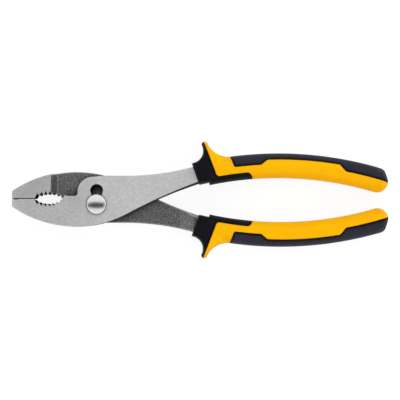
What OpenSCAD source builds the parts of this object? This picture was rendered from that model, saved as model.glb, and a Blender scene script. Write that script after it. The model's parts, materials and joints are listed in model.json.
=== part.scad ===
// Slip joint pliers with two-component grips.
// The tool lies flat and closed: jaws towards -X, upper handle towards +Y, front face up.
// Both levers share one blank. The rear lever is the front one turned over about the centreline.

/* [Tool] */
// Overall length, nose to grip ends
tool_length = 200; // [190:1:230]
// Thickness of each lever where the two lap
lever_thickness = 5; // [4.5:0.1:5.4]
// Running gap between the lapped faces of the levers
lap_gap = 0.1; // [0.05:0.05:0.2]

/* [Jaws] */
// Width across both jaws at their widest
jaw_width = 29.3; // [27.3:0.1:32]
// Radius of the curved back of each jaw
jaw_back_radius = 59.5; // [56.5:0.5:64]
// From the nose to the widest place of the jaws
nose_to_jaw_crest = 33.8; // [32.3:0.1:35.3]
// Rounding of the blunt nose
nose_corner_radius = 2; // [1:0.1:2.5]
// Gap between the jaw tips when closed
tip_gap = 0.1; // [0.1:0.05:0.3]
// Length of the tips that meet at the nose
tip_land = 1.1; // [0.8:0.1:1.5]
// Gap between the flat gripping faces when closed
jaw_gap = 0.4; // [0.3:0.05:0.6]
// Depth of the fine serrations on the flat gripping faces
serration_depth = 0.3; // [0.1:0.05:0.4]
// Number of fine serrations on each flat face
serration_count = 10; // [6:1:14]

/* [Pipe grip] */
// From the nose to the middle of the toothed opening
nose_to_opening = 18.9; // [18.4:0.1:19.6]
// Length of the toothed opening
opening_length = 15.2; // [14.6:0.1:16.2]
// Height of the toothed opening between its tooth tips
opening_height = 4.9; // [4.6:0.1:5.4]
// Depth of the coarse teeth
tooth_depth = 1.7; // [1.2:0.05:1.9]
// Distance between two coarse teeth
tooth_pitch = 2.27; // [2:0.01:2.4]
// Number of coarse gullets in each jaw
tooth_count = 6; // [4:1:6]

/* [Joint] */
// From the nose to the rivet
nose_to_pivot = 44.8; // [44:0.1:46]
// Distance of the rivet below the centreline
pivot_drop = 2.8; // [2.5:0.1:3.2]
// Distance between the two places of the rivet
slip_travel = 7.3; // [7:0.1:7.6]
// Diameter of the round ends of the slot
slot_end_d = 6.8; // [6.4:0.1:7]
// Width of the waist between the ends of the slot
slot_waist = 5.7; // [5.2:0.1:6]
// Clearance of the rivet all round
rivet_clearance = 0.05; // [0.02:0.01:0.08]
// Diameter of the rivet's head
rivet_head_d = 10.8; // [10:0.1:11.6]
// Height of the rivet's domed head
rivet_head_height = 2.2; // [1.6:0.1:2.6]
// Height of the straight rim under the dome
rivet_rim = 0.5; // [0.3:0.1:0.8]
// Diameter of the countersunk tail of the rivet
rivet_tail_d = 9.4; // [8.6:0.1:10]
// Depth of the countersink in the rear lever
rivet_tail_depth = 1.3; // [1:0.1:1.6]

/* [Cheeks] */
// Radius of the rounded front of the cheek
cheek_radius = 8.15; // [7.8:0.05:8.4]
// Distance of that rounding's centre ahead of the rivet
cheek_ahead = 1.95; // [1.7:0.05:2.2]
// Height of that rounding's centre above the centreline
cheek_rise = 3.7; // [3.4:0.1:4]
// Half the width of the neck behind the cheek
neck_half = 12.4; // [12.1:0.1:12.7]
// From the rivet back to where the neck starts to spread
neck_length = 15.2; // [13:0.1:17]
// From the rivet back to the corner between the neck and the cheek
neck_corner = 3.6; // [3:0.1:4]
// Height of the wire cutter's floor above the centreline
cutter_rise = 1.6; // [1.4:0.1:1.9]
// Radius at the back of the wire cutter
cutter_radius = 1.6; // [1.2:0.1:1.8]
// Height of the lip in front of the wire cutter
cutter_lip = 0.45; // [0.2:0.05:0.6]
// Width of that lip
cutter_lip_width = 0.6; // [0.4:0.1:0.8]

/* [Shoulders] */
// From the nose to the shoulder that steps down to the lapped face
nose_to_shoulder = 20.4; // [19.8:0.1:21]
// Length of the slope below the shoulder
shoulder_slope = 2.8; // [2:0.1:3]

/* [Handles] */
// Angle at which the jaw's back turns into the handle
heel_angle = 28.3; // [27.5:0.1:29]
// Distance of the shank's outer edge from the grip's middle, where the shank ends inside the grip
shank_rise = 5.25; // [4.9:0.05:5.5]
// Distance of the shank's inner edge from the grip's middle, at the same place
shank_drop = 4.05; // [3.85:0.05:4.2]
// From the collar's front to the end of the shank, along the grip
shank_entry = 8; // [7:0.5:9]
// Depth of the shank behind the middle plane
shank_back = 3.5; // [3:0.1:4]
// From the collar's front to the start of that thickening
thicken_start = 8.4; // [7.6:0.1:8.6]
// Length of the slope of the thickening
thicken_slope = 7; // [6:0.1:7.4]
// Relief on the shank's face where the collar starts
shank_relief = 0.4; // [0.2:0.1:0.6]
// Width of the drafted inner edge of the handle at the end of the shank
draft_width = 1.4; // [0.8:0.1:1.8]
// Width of the same edge at the heel, from which it runs out along the jaw's back
draft_heel = 0.4; // [0.2:0.1:0.6]
// Depth of that drafted edge
draft_depth = 4.2; // [3.6:0.1:4.3]
// Width of the tang inside the grip
tang_width = 7.5; // [6.5:0.1:8]
// Thickness of the tang inside the grip
tang_thickness = 6; // [5:0.1:6.6]
// From the end of the tang to the end of the grip, along the grip
tang_cover = 15.6; // [12:0.1:30]
// Clearance between the tang and its socket
tang_clearance = 0.05; // [0.02:0.01:0.1]

/* [Grips] */
// Length of a grip along its bend
grip_length = 104; // [101:0.2:108]
// Width of a grip
grip_width = 13.3; // [12.8:0.1:13.6]
// Thickness of a grip
grip_thickness = 16; // [15.6:0.1:17]
// Radius of the flatter sides of the grip's section
grip_side_radius = 12; // [11:0.1:13]
// Radius of the grip's bend
grip_bend_radius = 186.6; // [180.6:0.2:192]
// Distance of the grip's middle from the centreline at the crest of its bend
grip_spread = 18.35; // [18.1:0.05:19]
// From the tool's end to the crest of the bend
grip_crest_from_end = 57.9; // [56:0.1:60]
// Rounding of the grip's end on its outer side
end_outer_radius = 3.6; // [3:0.1:4.4]
// Rounding of the grip's end on its inner side
end_inner_radius = 5.6; // [5:0.1:6]
// How far the outer rounding stays behind the inner one
end_setback = 1.1; // [0.6:0.1:1.6]
// Rounding of the grip's end through its thickness
end_side_radius = 5; // [4:0.1:6]

/* [Collar and guard] */
// Length of the collar before the full grip starts
collar_length = 6.1; // [5.6:0.1:6.8]
// Lean of the collar's front face towards the guard
collar_lean = 5.6; // [2:0.2:8]
// Distance of the collar's outer face from the grip's middle
collar_outer = 6.9; // [6.8:0.1:7.3]
// Distance of the collar's inner face from the grip's middle
collar_inner = 5.3; // [5.2:0.1:5.7]
// Thickness of the collar
collar_thickness = 15; // [14.4:0.1:15.8]
// Rounding of the collar's long edges
collar_edge_radius = 2.4; // [1.6:0.1:3]
// Height of the finger guard above the grip's middle
guard_rise = 17; // [16:0.1:18]
// From the collar's front to the guard's tip, along the grip
guard_from_front = 7.8; // [7.6:0.1:8.4]
// Rounding of the guard's tip
guard_tip_radius = 1.6; // [1.3:0.1:1.8]
// Radius of the hollow ahead of the guard
guard_front_radius = 6.7; // [6.2:0.1:7.2]
// Radius of the hollow behind the guard
guard_back_radius = 12.1; // [11.4:0.1:12.8]
// Radius at which the guard's sides draw in behind its tip
guard_taper_radius = 15; // [14:0.5:20]

/* [Soft inlays] */
// Depth of the soft inlays
inlay_depth = 1.8; // [1.2:0.1:2]
// From the collar's front to the top of the collar's back edge, at the guard's tip
collar_top = 7.4; // [7:0.1:8]
// From the collar's front to the foot of the collar's back edge
collar_foot = 11.4; // [10.8:0.1:12.2]
// Rounding between the collar's back edge and the finger strip
foot_radius = 2; // [1:0.1:2.2]
// Width of the inner finger strip
strip_width = 3.35; // [3:0.05:3.7]
// From the collar's front to the end of the finger strip
strip_end = 28.8; // [26:0.2:33]
// Rounding of the finger strip's end
strip_end_radius = 2.6; // [1.2:0.1:2.7]
// Slant of the inlays' ends
inlay_slant = 1.4; // [0.8:0.1:2.2]
// From the collar's front to the start of the palm pad
pad_start = 19.2; // [18:0.2:22]
// Width of the palm pad at its front
pad_front_width = 6.5; // [6.1:0.05:6.8]
// Width of the palm pad between its ends
pad_narrow = 3.9; // [3.4:0.05:4.4]
// Width of the palm pad at the grip's end
pad_end_width = 7; // [6.5:0.05:7.4]
// From the collar's front to the first ramp of the pad's edge
pad_ramp_in = 34.8; // [33:0.2:38]
// From the collar's front to the second ramp of the pad's edge
pad_ramp_out = 76.2; // [72:0.2:80]
// Length of the ramps of the pad's edge
pad_ramp = 3.6; // [3:0.1:4.6]
// Rounding of the corners of the pad's edge
pad_corner_radius = 1.4; // [0.6:0.1:1.5]

/* [Hidden] */
$fn = 160;
// Overrun of every cut past the faces it passes
overrun = 1;
// Segments of the long arcs of the outlines, and of the small roundings of the inlays
arc_steps = 16;
corner_steps = 6;
// Longest straight piece of an inlay's edge along the bend
bend_step = 5;

nose_x = -tool_length / 2;
end_x = tool_length / 2;
mid_plane = grip_thickness / 2;
half_thickness = grip_thickness / 2;
half_width = grip_width / 2;

// The pivot, and the free end of the slot
pivot = [nose_x + nose_to_pivot, -pivot_drop];
shank_r = slot_end_d / 2 - rivet_clearance;
flat_half = slot_waist / 2 - rivet_clearance;

// The bend of the upper grip, with angles counted from +Y towards the grip's end
grip_center = [end_x - grip_crest_from_end, grip_spread - grip_bend_radius];
end_angle = asin(grip_crest_from_end / grip_bend_radius);
front_angle = end_angle - arc_angle(grip_length);
tang_reach = grip_length - tang_cover;

function arc_angle(distance) = distance / grip_bend_radius * 180 / PI;
function along(distance) = front_angle + arc_angle(distance);
function bend_point(angle, offset) =
    grip_center + (grip_bend_radius + offset) * [sin(angle), cos(angle)];
// A point on the upper grip, from its distance along the bend and its offset from the middle
function grip_point(distance, offset) = bend_point(along(distance), offset);
// A point on the plane of the collar's front, which leans, and points ahead of that plane
front_lean = front_angle - collar_lean;
function front_point(offset, ahead) =
    grip_point(0, 0) + offset * [sin(front_lean), cos(front_lean)]
        + ahead * [-cos(front_lean), sin(front_lean)];
// A corner between two neighbours, rounded by a radius
function fillet(before, corner, after, radius) =
    let (
        into = (corner - before) / norm(corner - before),
        out = (after - corner) / norm(after - corner),
        turn = acos(into * out),
        side = sign(cross(into, out)) * [-into.y, into.x],
        start = corner - radius * tan(turn / 2) * into
    )
    [for (i = [0:corner_steps])
        let (angle = turn * i / corner_steps)
        start + radius * (1 - cos(angle)) * side + radius * sin(angle) * into];
// A path of corners with each inner one rounded
function rounded(corners, radii) = [
    corners[0],
    for (i = [1:len(corners) - 2])
        each fillet(corners[i - 1], corners[i], corners[i + 1], radii[i - 1]),
    corners[len(corners) - 1]
];
// A path given along and across the grip, laid on the bend
function bent(path) = [
    for (i = [1:len(path) - 1])
        let (steps = ceil(norm(path[i] - path[i - 1]) / bend_step))
        for (k = [1:steps])
            let (place = path[i - 1] + (path[i] - path[i - 1]) * k / steps)
            grip_point(place.x, place.y)
];
function arc(center, radius, from, to) =
    [for (i = [0:arc_steps]) center + radius
        * [cos(from + (to - from) * i / arc_steps), sin(from + (to - from) * i / arc_steps)]];
function direction(from, to) = atan2(to.y - from.y, to.x - from.x);

// The jaw's back and the rounded nose
jaw_center = [nose_x + nose_to_jaw_crest, jaw_back_radius - jaw_width / 2];
nose_corner = [
    nose_x + nose_corner_radius,
    jaw_center.y - sqrt(pow(jaw_back_radius - nose_corner_radius, 2)
        - pow(nose_to_jaw_crest - nose_corner_radius, 2))
];
nose_angle = direction(jaw_center, nose_corner) + 360;

// The handle's edges: the inner one leaves the jaw's back smoothly, the outer one leaves the neck smoothly
shank_inner = grip_point(shank_entry, -shank_drop);
shank_outer = grip_point(shank_entry, shank_rise);
heel_normal = [sin(heel_angle), -cos(heel_angle)];
heel = jaw_center + jaw_back_radius * heel_normal;
// Radius of the arc that leaves a point along a normal's side and passes another point
function leaving_radius(start, normal, target) =
    let (chord = target - start)
    chord * chord / (2 * chord * normal);
inner_radius = leaving_radius(heel, heel_normal, shank_inner);
inner_center = heel + inner_radius * heel_normal;

// The top of the drafted edge: it leaves the jaw's back at its crest and passes inside the heel
jaw_draft_radius = jaw_back_radius - draft_heel / (1 - cos(heel_angle));
jaw_draft_center = jaw_center - [0, jaw_back_radius - jaw_draft_radius];
draft_start = jaw_draft_center + jaw_draft_radius * heel_normal;
draft_radius = leaving_radius(draft_start, heel_normal, grip_point(shank_entry, draft_width - shank_drop));
draft_center = draft_start + draft_radius * heel_normal;
neck_end = [pivot.x + neck_length, neck_half];
neck_to_shank = shank_outer - neck_end;
outer_radius = neck_to_shank * neck_to_shank / (2 * neck_to_shank.y);
outer_center = neck_end + [0, outer_radius];

// The cheek's rounded front and the hollow of the wire cutter
cheek_center = [pivot.x - cheek_ahead, cheek_rise];
cheek_corner = [pivot.x + neck_corner, neck_half];
cheek_top_angle = 105;
cutter_center = [
    cheek_center.x - sqrt(pow(cheek_radius + cutter_radius, 2)
        - pow(cutter_rise + cutter_radius - cheek_rise, 2)),
    cutter_rise + cutter_radius
];
cheek_foot_angle = direction(cheek_center, cutter_center) + 360;

// The toothed opening
opening_x = nose_x + nose_to_opening;
opening_front = opening_x - opening_length / 2;
opening_back = opening_x + opening_length / 2;
opening_sag = (opening_height - jaw_gap) / 2;
opening_radius = (pow(opening_length / 2, 2) + pow(opening_sag, 2)) / (2 * opening_sag);
opening_center = [opening_x, opening_radius - opening_height / 2];
lip_x = opening_back + cutter_rise + cutter_lip;

// A point on the arc through the tooth tips
function opening_point(x) =
    [x, opening_center.y - sqrt(pow(opening_radius, 2) - pow(x - opening_x, 2))];
// Tooth tips and gullets of one jaw between the ends of the opening, back to front
function coarse_teeth() = [
    opening_point(opening_back),
    for (i = [0:2 * tooth_count])
        opening_point(opening_x + (tooth_count - i) * tooth_pitch / 2) - [0, (i % 2) * tooth_depth],
    opening_point(opening_front)
];
// Fine serrations of one flat gripping face, back to front
function fine_teeth() =
    let (from = opening_front, to = nose_x + tip_land)
    [for (i = [1:2 * serration_count])
        [from + (to - from) * i / (2 * serration_count), -jaw_gap / 2 - (i % 2) * serration_depth]];
function jaw_edge() = concat(
    coarse_teeth(),
    fine_teeth(),
    [[nose_x + tip_land, -tip_gap / 2], [nose_x, -tip_gap / 2]]
);
// The inner and the outer edge of the handle, grown by a clearance
function inner_edge(from, grow) =
    arc(inner_center, inner_radius - grow, from, direction(inner_center, shank_inner));
function outer_edge(grow) =
    arc(outer_center, outer_radius - grow, direction(outer_center, shank_outer), -90);

// Outline of a lever from above, from the nose round the jaw's back and the handle to the cheek
module lever_outline() {
    polygon(concat(
        arc(nose_corner, nose_corner_radius, 180, nose_angle),
        arc(jaw_center, jaw_back_radius, nose_angle, 270 + heel_angle),
        inner_edge(90 + heel_angle, 0),
        outer_edge(0),
        [cheek_corner],
        arc(cheek_center, cheek_radius, cheek_top_angle, cheek_foot_angle),
        arc(cutter_center, cutter_radius, cheek_foot_angle - 180, -90),
        [
            [lip_x + cutter_lip, cutter_rise],
            [lip_x, cutter_rise + cutter_lip],
            [lip_x - cutter_lip_width, cutter_rise + cutter_lip]
        ],
        jaw_edge()
    ));
}

// Outline of a lever from the side: full nose, lapped middle, thickened shank
module lever_side() {
    collar_x = grip_point(0, 0).x;
    thick_x = collar_x - thicken_start;
    shoulder_x = nose_x + nose_to_shoulder;
    polygon([
        [nose_x, lever_thickness],
        [nose_x, -lever_thickness],
        [shoulder_x, -lever_thickness],
        [shoulder_x + shoulder_slope, lap_gap / 2],
        [thick_x, lap_gap / 2],
        [thick_x + thicken_slope, -shank_back],
        [end_x, -shank_back],
        [end_x, lever_thickness]
    ]);
}

// A section swept along the bend of the upper grip
module sweep(from, to) {
    translate(grip_center)
        rotate([0, 0, 90 - to])
            rotate_extrude(angle = to - from)
                translate([grip_bend_radius, 0])
                    children();
}

// The tang inside the grip, grown by a clearance
module tang(grow) {
    sweep(along(shank_entry - overrun), along(tang_reach + grow))
        square([tang_width + 2 * grow, tang_thickness + 2 * grow], center = true);
}

// Section of the drafted edge below a face, with the material on the far side of a radius
module draft_section(radius, side) {
    beyond = radius - side * (draft_width + overrun);
    polygon([
        [beyond, -draft_depth],
        [radius - side * draft_width, -draft_depth],
        [radius, 0],
        [radius, overrun],
        [beyond, overrun]
    ]);
}

// The slope along the handle's inner edge below a face
module handle_draft() {
    from = direction(draft_center, shank_inner);
    translate(draft_center)
        rotate([0, 0, from])
            rotate_extrude(angle = 90 + heel_angle - from)
                draft_section(draft_radius, 1);
}

// The same slope along the jaw's back, from its crest to the heel
module jaw_draft() {
    translate(jaw_draft_center)
        rotate([0, 0, 270])
            rotate_extrude(angle = heel_angle)
                draft_section(jaw_draft_radius, -1);
}

// The drafted inner edge, on both faces of the handle
module inner_draft() {
    translate([0, 0, lever_thickness]) {
        handle_draft();
        jaw_draft();
    }
    translate([0, 0, -shank_back])
        mirror([0, 0, 1])
            handle_draft();
}

// The relief on the shank's face from the collar's front on
module shank_step() {
    translate([0, 0, lever_thickness - shank_relief])
        linear_extrude(shank_relief + overrun)
            polygon([
                front_point(-grip_width, tang_clearance),
                grip_point(2 * shank_entry, -grip_width),
                grip_point(2 * shank_entry, grip_width),
                front_point(grip_width, tang_clearance)
            ]);
}

// The lever that both levers start from, without its joint
module lever_blank() {
    difference() {
        intersection() {
            translate([0, 0, -lever_thickness - overrun])
                linear_extrude(2 * (lever_thickness + overrun))
                    lever_outline();
            translate([0, jaw_width, 0])
                rotate([90, 0, 0])
                    linear_extrude(2 * jaw_width)
                        lever_side();
        }
        inner_draft();
        shank_step();
    }
    tang(0);
}

// The room that a lever's shank and tang take inside a grip
module socket() {
    shank_depth = lever_thickness - shank_relief + shank_back + 2 * tang_clearance;
    translate([0, 0, -shank_back - tang_clearance])
        linear_extrude(shank_depth)
            polygon(concat(
                inner_edge(90 + heel_angle, tang_clearance),
                [grip_point(shank_entry + tang_clearance, -shank_drop)],
                [grip_point(shank_entry + tang_clearance, shank_rise)],
                outer_edge(tang_clearance)
            ));
    tang(tang_clearance);
}

// The waisted slot of the front lever
module slot() {
    translate([pivot.x, pivot.y, -overrun])
        linear_extrude(lever_thickness + 2 * overrun) {
            circle(d = slot_end_d);
            translate([0, slip_travel])
                circle(d = slot_end_d);
            translate([-slot_waist / 2, 0])
                square([slot_waist, slip_travel]);
        }
}

module front_lever() {
    color("silver")
        translate([0, 0, mid_plane])
            difference() {
                lever_blank();
                slot();
            }
}

module rear_lever() {
    color("dimgray")
        translate([0, 0, mid_plane])
            difference() {
                rotate([180, 0, 0])
                    lever_blank();
                translate([pivot.x, pivot.y, -lever_thickness - overrun])
                    cylinder(d = slot_end_d, h = lever_thickness + 2 * overrun);
                translate([pivot.x, pivot.y, -lever_thickness])
                    cylinder(
                        r1 = rivet_tail_d / 2 + rivet_clearance,
                        r2 = slot_end_d / 2,
                        h = rivet_tail_depth
                    );
                translate([pivot.x, pivot.y, -lever_thickness - overrun])
                    cylinder(r = rivet_tail_d / 2 + rivet_clearance, h = overrun);
            }
}

// Half section of the rivet: tail, shank and domed head
module rivet_section() {
    head_r = rivet_head_d / 2;
    seat = lever_thickness + rivet_clearance;
    dome_height = rivet_head_height - rivet_rim;
    dome_radius = (pow(head_r, 2) + pow(dome_height, 2)) / (2 * dome_height);
    polygon([
        [0, -lever_thickness],
        [rivet_tail_d / 2, -lever_thickness],
        [shank_r, -lever_thickness + rivet_tail_depth],
        [shank_r, seat],
        [0, seat]
    ]);
    translate([0, seat])
        square([head_r, rivet_rim]);
    intersection() {
        translate([0, seat + rivet_head_height - dome_radius])
            circle(r = dome_radius);
        translate([0, seat + rivet_rim])
            square([head_r, dome_height]);
    }
}

module pivot_rivet() {
    color("gainsboro")
        translate([pivot.x, pivot.y, mid_plane])
            difference() {
                rotate_extrude()
                    rivet_section();
                for (side = [-1, 1])
                    translate([side * (flat_half + shank_r / 2), 0, lever_thickness / 2])
                        cube([shank_r, 2 * shank_r + overrun, lever_thickness], center = true);
            }
}

// Oval section of a grip, made of four arcs and drawn in by a depth
module grip_section(depth) {
    flat_offset = grip_side_radius - half_width;
    end_gain = grip_side_radius - half_thickness;
    end_rise = (pow(flat_offset, 2) - pow(end_gain, 2)) / (2 * end_gain);
    end_radius = half_thickness - end_rise;
    meet = (grip_side_radius - depth) * end_rise / norm([flat_offset, end_rise]);
    for (side = [-1, 1])
        translate([0, side * end_rise])
            circle(r = end_radius - depth);
    intersection() {
        translate([flat_offset, 0])
            circle(r = grip_side_radius - depth);
        translate([-flat_offset, 0])
            circle(r = grip_side_radius - depth);
        square([grip_width, 2 * meet], center = true);
    }
}

// Centres of the two roundings of the grip's end, seen from above
end_inner_ring = grip_bend_radius - half_width + end_inner_radius;
end_inner_angle = asin((end_x - end_inner_radius - grip_center.x) / end_inner_ring);
end_inner_center = grip_center + end_inner_ring
    * [sin(end_inner_angle), cos(end_inner_angle)];
end_outer_ring = grip_bend_radius + half_width - end_outer_radius;
end_outer_angle = asin((end_x - end_setback - end_outer_radius - grip_center.x) / end_outer_ring);
end_outer_center = grip_center + end_outer_ring
    * [sin(end_outer_angle), cos(end_outer_angle)];
// Normal of the line that touches both roundings at the tip
end_axis = (end_outer_center - end_inner_center) / norm(end_outer_center - end_inner_center);
end_lean = (end_inner_radius - end_outer_radius) / norm(end_outer_center - end_inner_center);
end_normal = end_lean * end_axis + sqrt(1 - pow(end_lean, 2)) * [end_axis.y, -end_axis.x];

// Everything that lies inside the grip's rounded end from above, drawn in by a depth
module end_plan(depth) {
    reach = grip_thickness;
    translate(end_inner_center)
        circle(r = end_inner_radius - depth);
    translate(end_outer_center)
        circle(r = end_outer_radius - depth);
    polygon([
        grip_point(0, -reach),
        bend_point(end_inner_angle, -reach),
        end_inner_center,
        end_inner_center + (end_inner_radius - depth) * end_normal,
        end_outer_center + (end_outer_radius - depth) * end_normal,
        end_outer_center,
        bend_point(end_outer_angle, reach),
        grip_point(grip_length / 2, 2 * reach),
        grip_point(0, reach)
    ]);
}

// The same from the side
module end_side(depth) {
    corner = [end_x - end_side_radius, half_thickness - end_side_radius];
    for (side = [-1, 1])
        translate([corner.x, side * corner.y])
            circle(r = end_side_radius - depth);
    translate([0, -half_thickness + depth] - [grip_length / 2, 0])
        square([corner.x + grip_length / 2, grip_thickness - 2 * depth]);
    translate([0, -corner.y])
        square([end_x - depth, 2 * corner.y]);
}

// The full grip behind its collar, drawn in by a depth
module grip_body(depth) {
    intersection() {
        sweep(along(collar_length), end_angle + arc_angle(grip_width))
            grip_section(depth);
        translate([0, 0, -grip_thickness])
            linear_extrude(2 * grip_thickness)
                end_plan(depth);
        translate([0, tool_length / 2, 0])
            rotate([90, 0, 0])
                linear_extrude(tool_length)
                    end_side(depth);
    }
}

// Section of the collar: a rounded oblong
module collar_section() {
    corner_z = collar_thickness / 2 - collar_edge_radius;
    height = collar_inner + collar_outer;
    for (edge = [-collar_inner + collar_edge_radius, collar_outer - collar_edge_radius])
        for (side = [-1, 1])
            translate([edge, side * corner_z])
                circle(r = collar_edge_radius);
    translate([-collar_inner, -corner_z])
        square([height, 2 * corner_z]);
    translate([-collar_inner + collar_edge_radius, -collar_thickness / 2])
        square([height - 2 * collar_edge_radius, collar_thickness]);
}

module collar_body() {
    sweep(along(-collar_outer), along(collar_foot))
        collar_section();
}

// The finger guard: a tip between two hollows that run out into the collar and the grip
guard_tip_ring = grip_bend_radius + guard_rise - guard_tip_radius;
guard_tip_angle = along(guard_from_front);
guard_tip = bend_point(guard_tip_angle, guard_rise - guard_tip_radius);
function hollow_angle(ring, radius) =
    acos((pow(guard_tip_ring, 2) + pow(ring, 2) - pow(radius + guard_tip_radius, 2))
        / (2 * guard_tip_ring * ring));
guard_front_ring = grip_bend_radius + collar_outer + guard_front_radius;
guard_front_angle = guard_tip_angle - hollow_angle(guard_front_ring, guard_front_radius);
guard_front_center = bend_point(guard_front_angle, collar_outer + guard_front_radius);
guard_back_ring = grip_bend_radius + half_width + guard_back_radius;
guard_back_angle = guard_tip_angle + hollow_angle(guard_back_ring, guard_back_radius);
guard_back_center = bend_point(guard_back_angle, half_width + guard_back_radius);

module guard_plan() {
    translate(guard_tip)
        circle(r = guard_tip_radius);
    difference() {
        polygon([
            bend_point(guard_front_angle, 0),
            bend_point(guard_back_angle, 0),
            guard_back_center,
            guard_tip,
            guard_front_center
        ]);
        translate(guard_front_center)
            circle(r = guard_front_radius);
        translate(guard_back_center)
            circle(r = guard_back_radius);
    }
}

// The guard from the side: parallel up to its tip, drawn in behind it
module guard_side() {
    half = collar_thickness / 2;
    translate([-guard_rise, -half])
        square([guard_rise, collar_thickness]);
    intersection() {
        translate([0, half - guard_taper_radius])
            circle(r = guard_taper_radius);
        translate([0, guard_taper_radius - half])
            circle(r = guard_taper_radius);
        translate([0, -half])
            square([guard_taper_radius, collar_thickness]);
    }
}

module guard() {
    dome_r = collar_thickness / 2;
    intersection() {
        translate(guard_tip)
            rotate([0, 0, -guard_tip_angle])
                translate([0, guard_rise, 0])
                    rotate([90, 0, 0])
                        linear_extrude(2 * guard_rise)
                            guard_side();
        translate([0, 0, -dome_r])
            linear_extrude(collar_thickness)
                guard_plan();
        sweep(guard_front_angle - arc_angle(overrun), guard_back_angle + arc_angle(overrun)) {
            translate([guard_rise - dome_r, 0])
                circle(r = dome_r);
            translate([-overrun, -dome_r])
                square([guard_rise - dome_r + overrun, collar_thickness]);
        }
    }
}

// The collar's back edge runs from the guard's tip to the collar's foot
function back_edge(offset) =
    [collar_foot + (collar_top - collar_foot)
        * (offset + half_width) / (guard_rise + half_width), offset];

// The part of the grip ahead of the collar's back edge, from above
module collar_plan() {
    reach = 2 * guard_rise;
    polygon(concat(
        [front_point(-reach, 0), grip_point(collar_foot, -reach)],
        bent([back_edge(-grip_width), back_edge(reach)]),
        [front_point(reach, 0)]
    ));
}

// The inner finger strip, from above
module strip_plan() {
    top = strip_width - half_width;
    beyond = strip_end + inlay_slant * (grip_width - half_width + strip_width) / strip_width;
    polygon(concat(
        bent(rounded(
            [back_edge(0), back_edge(top), [strip_end, top], [beyond, -grip_width]],
            [foot_radius, strip_end_radius]
        )),
        [grip_point(guard_from_front, -grip_width), grip_point(guard_from_front, top)]
    ));
}

// The palm pad, from above
module pad_plan() {
    front = half_width - pad_front_width;
    narrow = half_width - pad_narrow;
    end = half_width - pad_end_width;
    before = pad_start - inlay_slant * half_width / pad_front_width;
    beyond = grip_length + grip_width;
    polygon(bent(rounded(
        [
            [before, grip_width],
            [pad_start + inlay_slant, front],
            [pad_ramp_in, front],
            [pad_ramp_in + pad_ramp, narrow],
            [pad_ramp_out, narrow],
            [pad_ramp_out + pad_ramp, end],
            [beyond, end],
            [beyond, grip_width],
            [before, grip_width]
        ],
        [for (i = [1:7]) pad_corner_radius]
    )));
}

// A plan region through the whole thickness of the grip
module through() {
    translate([0, 0, -grip_thickness])
        linear_extrude(2 * grip_thickness)
            children();
}

module grip_core() {
    difference() {
        union() {
            grip_body(0);
            guard();
        }
        through()
            collar_plan();
        difference() {
            through() {
                strip_plan();
                pad_plan();
            }
            grip_body(inlay_depth);
        }
        socket();
    }
}

module grip_collar() {
    difference() {
        union() {
            intersection() {
                union() {
                    collar_body();
                    guard();
                    grip_body(0);
                }
                through()
                    collar_plan();
            }
            difference() {
                intersection() {
                    grip_body(0);
                    through()
                        strip_plan();
                }
                grip_body(inlay_depth);
            }
        }
        socket();
    }
}

module grip_pad() {
    difference() {
        intersection() {
            grip_body(0);
            through()
                pad_plan();
        }
        grip_body(inlay_depth);
    }
}

module upper_place() {
    translate([0, 0, mid_plane])
        children();
}

module lower_place() {
    translate([0, 0, mid_plane])
        rotate([180, 0, 0])
            children();
}

module upper_grip_core() { color("orange") upper_place() grip_core(); }
module upper_grip_collar() { color([0.1, 0.1, 0.13]) upper_place() grip_collar(); }
module upper_grip_pad() { color([0.2, 0.2, 0.28]) upper_place() grip_pad(); }
module lower_grip_core() { color("orange") lower_place() grip_core(); }
module lower_grip_collar() { color([0.1, 0.1, 0.13]) lower_place() grip_collar(); }
module lower_grip_pad() { color([0.2, 0.2, 0.28]) lower_place() grip_pad(); }

front_lever();
rear_lever();
pivot_rivet();
upper_grip_core();
upper_grip_collar();
upper_grip_pad();
lower_grip_core();
lower_grip_collar();
lower_grip_pad();
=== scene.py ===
"""Looks of the slip joint pliers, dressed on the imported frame."""
import json
import math

import bpy
import numpy as np
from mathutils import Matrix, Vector
from mathutils.geometry import delaunay_2d_cdt


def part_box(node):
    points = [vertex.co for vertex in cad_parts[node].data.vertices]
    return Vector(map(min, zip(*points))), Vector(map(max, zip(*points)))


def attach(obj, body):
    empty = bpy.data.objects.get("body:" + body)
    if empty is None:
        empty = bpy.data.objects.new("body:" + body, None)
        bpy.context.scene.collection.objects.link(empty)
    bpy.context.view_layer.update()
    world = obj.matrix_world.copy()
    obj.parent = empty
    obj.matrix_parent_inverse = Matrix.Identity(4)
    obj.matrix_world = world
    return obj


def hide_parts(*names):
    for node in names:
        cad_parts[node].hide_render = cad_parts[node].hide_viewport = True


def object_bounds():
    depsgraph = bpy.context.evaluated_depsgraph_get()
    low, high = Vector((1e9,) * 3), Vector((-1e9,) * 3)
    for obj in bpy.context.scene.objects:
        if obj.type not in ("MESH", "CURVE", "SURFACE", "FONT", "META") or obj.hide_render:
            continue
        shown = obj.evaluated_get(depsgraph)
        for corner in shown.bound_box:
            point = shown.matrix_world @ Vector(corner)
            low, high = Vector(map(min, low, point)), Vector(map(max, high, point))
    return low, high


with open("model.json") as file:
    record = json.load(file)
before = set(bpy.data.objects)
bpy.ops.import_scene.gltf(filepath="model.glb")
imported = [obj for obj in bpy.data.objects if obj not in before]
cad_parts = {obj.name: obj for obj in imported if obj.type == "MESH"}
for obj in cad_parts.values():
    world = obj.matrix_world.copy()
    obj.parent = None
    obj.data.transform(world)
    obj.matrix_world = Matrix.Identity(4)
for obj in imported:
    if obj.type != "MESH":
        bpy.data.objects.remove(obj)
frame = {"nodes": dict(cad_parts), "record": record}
cad_low, cad_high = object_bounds()

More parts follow.
